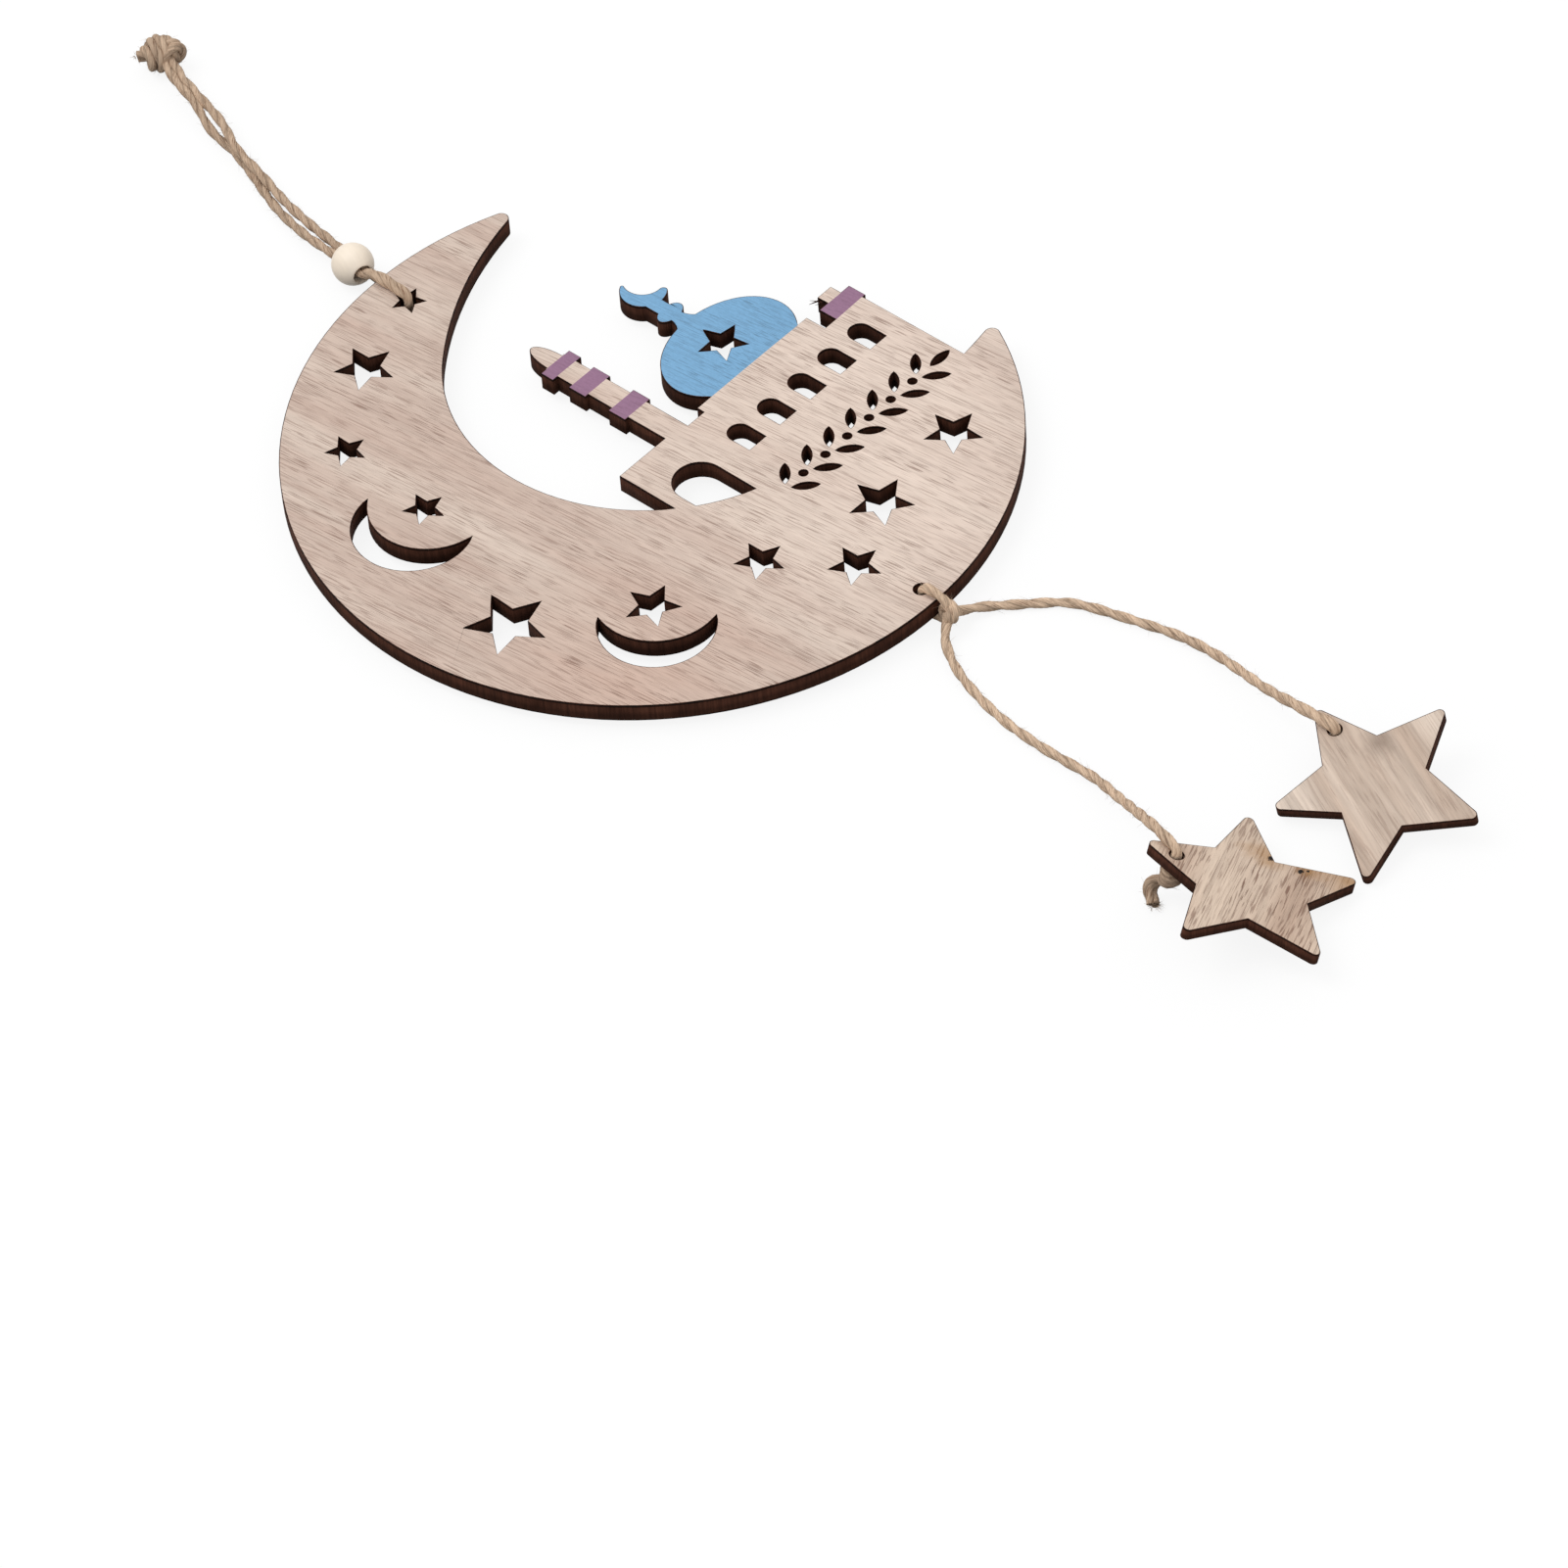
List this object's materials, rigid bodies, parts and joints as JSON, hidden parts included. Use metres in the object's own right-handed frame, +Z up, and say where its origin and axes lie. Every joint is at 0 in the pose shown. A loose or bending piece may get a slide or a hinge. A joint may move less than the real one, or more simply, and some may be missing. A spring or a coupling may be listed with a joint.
{
  "type": "hanging crescent ornament",
  "caption": "Flat wooden crescent pierced with a mosque, moons and stars, hung from a beaded twine loop, with star pendants tied below.",
  "frame": {"origin": "on the table, under the middle of the footprint of the board, the bead and the stars", "axes": "+Z up from the table and out of the board's painted front, +Y along the ornament towards its hanging loop, +X towards the crescent's open side"},
  "size_m": [0.1696, 0.4342, 0.0162],
  "materials": {
    "board_wood": "pale veneered board, charred laser-cut edges, thin blue and purple paint on the front",
    "star_wood": "pale veneered sheet, charred laser-cut edges",
    "bead_wood": "smooth pale turned wood",
    "jute_twine": "two-ply jute twine"
  },
  "bodies": {
    "crescent": {"crescent_plate": "board_wood", "pendant_tie_loop": "jute_twine", "pendant_tie_knot": "jute_twine"},
    "hanger": {"hanger_eye": "jute_twine", "hanger_left_strand": "jute_twine", "hanger_right_strand": "jute_twine", "hanger_knot": "jute_twine"},
    "bead": {"hanger_bead": "bead_wood"},
    "left_pendant": {"left_pendant_cord": "jute_twine", "left_stopper_knot": "jute_twine"},
    "left_star": {"left_star": "star_wood"},
    "right_pendant": {"right_pendant_cord": "jute_twine", "right_stopper_knot": "jute_twine"},
    "right_star": {"right_star": "star_wood"}
  },
  "joints": [
    {"name": "hanger_swing", "type": "hinge", "parent": "crescent", "child": "hanger", "pos_m": [0.00371, 0.14298, 0.0048], "axis": [0, 0, 1], "range_deg": [-15, 20]},
    {"name": "bead_slide", "type": "slide", "parent": "hanger", "child": "bead", "axis": [0.2661, 0.9639, 0], "range_m": [0, 0.08]},
    {"name": "left_swing", "type": "hinge", "parent": "crescent", "child": "left_pendant", "pos_m": [0.00602, -0.02917, 0.0048], "axis": [0, 0, 1], "range_deg": [-30, 0]},
    {"name": "left_star_turn", "type": "hinge", "parent": "left_pendant", "child": "left_star", "pos_m": [-0.02773, -0.12585, 0.0107], "axis": [0.2409, -0.1103, 0.9643], "range_deg": [-40, 0]},
    {"name": "right_swing", "type": "hinge", "parent": "crescent", "child": "right_pendant", "pos_m": [0.00602, -0.02917, 0.0048], "axis": [0, 0, 1], "range_deg": [0, 30]},
    {"name": "right_star_turn", "type": "hinge", "parent": "right_pendant", "child": "right_star", "pos_m": [0.02929, -0.12731, 0.0067], "axis": [-0.2048, -0.0158, 0.9787], "range_deg": [0, 40]}
  ]
}
